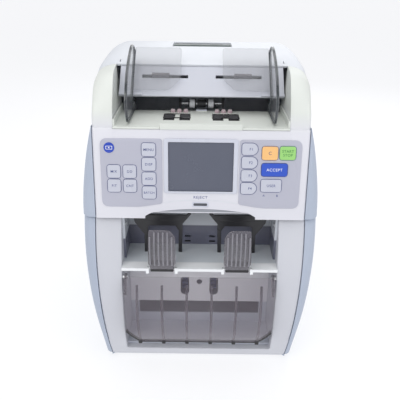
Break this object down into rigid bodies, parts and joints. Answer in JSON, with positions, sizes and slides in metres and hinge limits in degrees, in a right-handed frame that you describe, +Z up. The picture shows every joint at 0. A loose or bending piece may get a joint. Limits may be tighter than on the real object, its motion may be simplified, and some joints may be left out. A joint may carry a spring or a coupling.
{
  "type": "banknote counter",
  "caption": "Two-pocket banknote counter with a top hopper and sliding guides, tilted control panel, reject pocket with stoppers and a smoked stacker cover.",
  "frame": {"origin": "centre of the footprint, on the table", "axes": "+X to the right, front faces -Y, +Z up"},
  "size_m": [0.3, 0.352, 0.418],
  "materials": {
    "steel": "zinc-plated folded sheet",
    "feet_rubber": "matt moulded rubber",
    "white_case": "fine-textured moulded ABS, cool white",
    "grey_case": "fine-textured moulded ABS, blue grey",
    "pale_tray": "smooth moulded plastic, pale blue grey",
    "liner_grey": "smooth moulded plastic",
    "black_plastic": "satin black moulded plastic",
    "board_green": "solder-masked circuit board",
    "motor_black": "black painted steel can",
    "belt_rubber": "ribbed drive belt",
    "screw_steel": "plated screws",
    "pin_steel": "ground steel pins and shafts",
    "smoke": "smoked clear plastic, grey violet",
    "smoke_dark": "dark smoked clear plastic",
    "vane_blue": "flexible moulded vanes",
    "display_glass": "unlit display behind a clear window",
    "bezel_grey": "semi-gloss moulded frame",
    "lamp_grey": "dark translucent lamp window",
    "overlay_grey": "printed polyester overlay, satin",
    "handle_grey": "grey green moulded plastic",
    "roller_rubber": "ribbed feed rubber on steel",
    "roller_metal": "turned aluminium rollers",
    "key_pale": "pale keys, satin",
    "key_orange": "orange key, satin",
    "key_green": "green key, satin",
    "key_blue": "blue key, satin",
    "pinion_white": "acetal"
  },
  "bodies": {
    "base": {"chassis": "steel", "rubber_feet": "feet_rubber", "front_frame": "white_case", "side_cover_left": "grey_case", "side_cover_right": "grey_case", "rear_cover": "grey_case", "stacker_tray": "pale_tray", "reject_tray": "pale_tray", "reject_backplate": "liner_grey", "reject_guides": "black_plastic", "power_supply": "steel", "main_board": "board_green", "drive_motor": "motor_black", "drive_belt": "belt_rubber", "rear_sockets": "black_plastic", "case_screws": "screw_steel", "hinge_pins": "pin_steel"},
    "upper_unit": {"hood": "white_case", "hood_side_left": "grey_case", "hood_side_right": "grey_case", "top_cover": "white_case", "hopper_floor": "pale_tray", "hopper_backplate": "white_case", "upper_frame": "steel", "display": "display_glass", "display_bezel": "bezel_grey", "reject_lamp": "lamp_grey", "keypad_left": "overlay_grey", "keypad_right": "overlay_grey"},
    "stacker_door": {"stacker_cover": "smoke"},
    "stopper_left": {"reject_stopper_left": "smoke_dark"},
    "stopper_right": {"reject_stopper_right": "smoke_dark"},
    "stacker_rotor": {"stacker_shaft": "pin_steel", "stacker_vanes": "vane_blue"},
    "reject_rotor": {"reject_shaft": "pin_steel"},
    "motor_rotor": {"motor_pulley": "roller_metal"},
    "diverter": {"diverter_gate": "black_plastic"},
    "switch_rocker": {"power_switch": "black_plastic"},
    "handle": {"carry_handle": "handle_grey"},
    "guide_left": {"hopper_guide_left": "smoke"},
    "guide_right": {"hopper_guide_right": "smoke"},
    "pinion": {"guide_pinion": "pinion_white"},
    "pickup_rotor": {"pickup_rollers": "roller_rubber"},
    "feed_rotor": {"feed_rollers": "roller_metal"},
    "menu_key_body": {"menu_key": "key_pale"},
    "disp_key_body": {"disp_key": "key_pale"},
    "add_key_body": {"add_key": "key_pale"},
    "batch_key_body": {"batch_key": "key_pale"},
    "mix_key_body": {"mix_key": "key_pale"},
    "dd_key_body": {"dd_key": "key_pale"},
    "fit_key_body": {"fit_key": "key_pale"},
    "count_key_body": {"count_key": "key_pale"},
    "f1_key_body": {"f1_key": "key_pale"},
    "f2_key_body": {"f2_key": "key_pale"},
    "f3_key_body": {"f3_key": "key_pale"},
    "f4_key_body": {"f4_key": "key_pale"},
    "clear_key_body": {"clear_key": "key_orange"},
    "start_stop_key_body": {"start_stop_key": "key_green"},
    "accept_key_body": {"accept_key": "key_blue"},
    "user_key_body": {"user_key": "key_pale"}
  },
  "joints": [
    {"name": "upper_unit_hinge", "type": "hinge", "parent": "base", "child": "upper_unit", "pos_m": [0, 0.166, 0.224], "axis": [-1, 0, 0], "range_deg": [0, 40]},
    {"name": "stacker_door_hinge", "type": "hinge", "parent": "base", "child": "stacker_door", "pos_m": [0, -0.1555, 0.1386], "axis": [-1, 0, 0], "range_deg": [0, 70]},
    {"name": "stopper_left_hinge", "type": "hinge", "parent": "base", "child": "stopper_left", "pos_m": [0, -0.1575, 0.153], "axis": [1, 0, 0], "range_deg": [0, 65], "stiffness_Nm_per_rad": 0.03, "springref_deg": -17.19},
    {"name": "stopper_right_hinge", "type": "hinge", "parent": "base", "child": "stopper_right", "pos_m": [0, -0.1575, 0.153], "axis": [1, 0, 0], "range_deg": [0, 65], "stiffness_Nm_per_rad": 0.03, "springref_deg": -17.19},
    {"name": "motor_spin", "type": "hinge", "parent": "base", "child": "motor_rotor", "pos_m": [0, -0.00063, 0.09], "axis": [1, 0, 0], "continuous": true},
    {"name": "stacker_spin", "type": "hinge", "parent": "base", "child": "stacker_rotor", "pos_m": [0, -0.07363, 0.084], "axis": [1, 0, 0], "continuous": true},
    {"name": "reject_spin", "type": "hinge", "parent": "base", "child": "reject_rotor", "pos_m": [0, -0.07163, 0.1916], "axis": [1, 0, 0], "continuous": true},
    {"name": "diverter_tilt", "type": "hinge", "parent": "base", "child": "diverter", "pos_m": [0, -0.07563, 0.1466], "axis": [1, 0, 0], "range_deg": [-8, 8]},
    {"name": "power_rocker", "type": "hinge", "parent": "base", "child": "switch_rocker", "pos_m": [-0.038, 0.167, 0.034], "axis": [1, 0, 0], "range_deg": [0, 14]},
    {"name": "handle_hinge", "type": "hinge", "parent": "upper_unit", "child": "handle", "pos_m": [0, 0.08331, 0.39351], "axis": [-1, 0, 0], "range_deg": [0, 85]},
    {"name": "guide_left_slide", "type": "slide", "parent": "upper_unit", "child": "guide_left", "axis": [1, 0, 0], "range_m": [-0.012, 0.023]},
    {"name": "guide_right_slide", "type": "slide", "parent": "upper_unit", "child": "guide_right", "axis": [-1, 0, 0], "range_m": [-0.012, 0.023]},
    {"name": "pinion_spin", "type": "hinge", "parent": "upper_unit", "child": "pinion", "pos_m": [0, -0.04713, 0.37789], "axis": [0, 0.7071, -0.7071], "range_deg": [-90, 170]},
    {"name": "pickup_spin", "type": "hinge", "parent": "upper_unit", "child": "pickup_rotor", "pos_m": [0, -0.08169, 0.31943], "axis": [1, 0, 0], "continuous": true},
    {"name": "feed_spin", "type": "hinge", "parent": "upper_unit", "child": "feed_rotor", "pos_m": [0, -0.04469, 0.34203], "axis": [1, 0, 0], "continuous": true},
    {"name": "menu_press", "type": "slide", "parent": "upper_unit", "child": "menu_key_body", "axis": [0, 0.9911, -0.1331], "range_m": [0, 0.0007], "stiffness_N_per_m": 1500},
    {"name": "disp_press", "type": "slide", "parent": "upper_unit", "child": "disp_key_body", "axis": [0, 0.9911, -0.1331], "range_m": [0, 0.0007], "stiffness_N_per_m": 1500},
    {"name": "add_press", "type": "slide", "parent": "upper_unit", "child": "add_key_body", "axis": [0, 0.9911, -0.1331], "range_m": [0, 0.0007], "stiffness_N_per_m": 1500},
    {"name": "batch_press", "type": "slide", "parent": "upper_unit", "child": "batch_key_body", "axis": [0, 0.9911, -0.1331], "range_m": [0, 0.0007], "stiffness_N_per_m": 1500},
    {"name": "mix_press", "type": "slide", "parent": "upper_unit", "child": "mix_key_body", "axis": [0, 0.9911, -0.1331], "range_m": [0, 0.0007], "stiffness_N_per_m": 1500},
    {"name": "dd_press", "type": "slide", "parent": "upper_unit", "child": "dd_key_body", "axis": [0, 0.9911, -0.1331], "range_m": [0, 0.0007], "stiffness_N_per_m": 1500},
    {"name": "fit_press", "type": "slide", "parent": "upper_unit", "child": "fit_key_body", "axis": [0, 0.9911, -0.1331], "range_m": [0, 0.0007], "stiffness_N_per_m": 1500},
    {"name": "count_press", "type": "slide", "parent": "upper_unit", "child": "count_key_body", "axis": [0, 0.9911, -0.1331], "range_m": [0, 0.0007], "stiffness_N_per_m": 1500},
    {"name": "f1_press", "type": "slide", "parent": "upper_unit", "child": "f1_key_body", "axis": [0, 0.9911, -0.1331], "range_m": [0, 0.0007], "stiffness_N_per_m": 1500},
    {"name": "f2_press", "type": "slide", "parent": "upper_unit", "child": "f2_key_body", "axis": [0, 0.9911, -0.1331], "range_m": [0, 0.0007], "stiffness_N_per_m": 1500},
    {"name": "f3_press", "type": "slide", "parent": "upper_unit", "child": "f3_key_body", "axis": [0, 0.9911, -0.1331], "range_m": [0, 0.0007], "stiffness_N_per_m": 1500},
    {"name": "f4_press", "type": "slide", "parent": "upper_unit", "child": "f4_key_body", "axis": [0, 0.9911, -0.1331], "range_m": [0, 0.0007], "stiffness_N_per_m": 1500},
    {"name": "clear_press", "type": "slide", "parent": "upper_unit", "child": "clear_key_body", "axis": [0, 0.9911, -0.1331], "range_m": [0, 0.0007], "stiffness_N_per_m": 1500},
    {"name": "start_stop_press", "type": "slide", "parent": "upper_unit", "child": "start_stop_key_body", "axis": [0, 0.9911, -0.1331], "range_m": [0, 0.0007], "stiffness_N_per_m": 1500},
    {"name": "accept_press", "type": "slide", "parent": "upper_unit", "child": "accept_key_body", "axis": [0, 0.9911, -0.1331], "range_m": [0, 0.0007], "stiffness_N_per_m": 1500},
    {"name": "user_press", "type": "slide", "parent": "upper_unit", "child": "user_key_body", "axis": [0, 0.9911, -0.1331], "range_m": [0, 0.0007], "stiffness_N_per_m": 1500}
  ],
  "couplings": [
    {"joint": "guide_right_slide", "follows": "guide_left_slide", "ratio": 1},
    {"joint": "pinion_spin", "follows": "guide_left_slide", "rad_per_m": 125},
    {"joint": "stacker_spin", "follows": "motor_spin", "ratio": 0.85714},
    {"joint": "reject_spin", "follows": "motor_spin", "ratio": 0.85714}
  ]
}
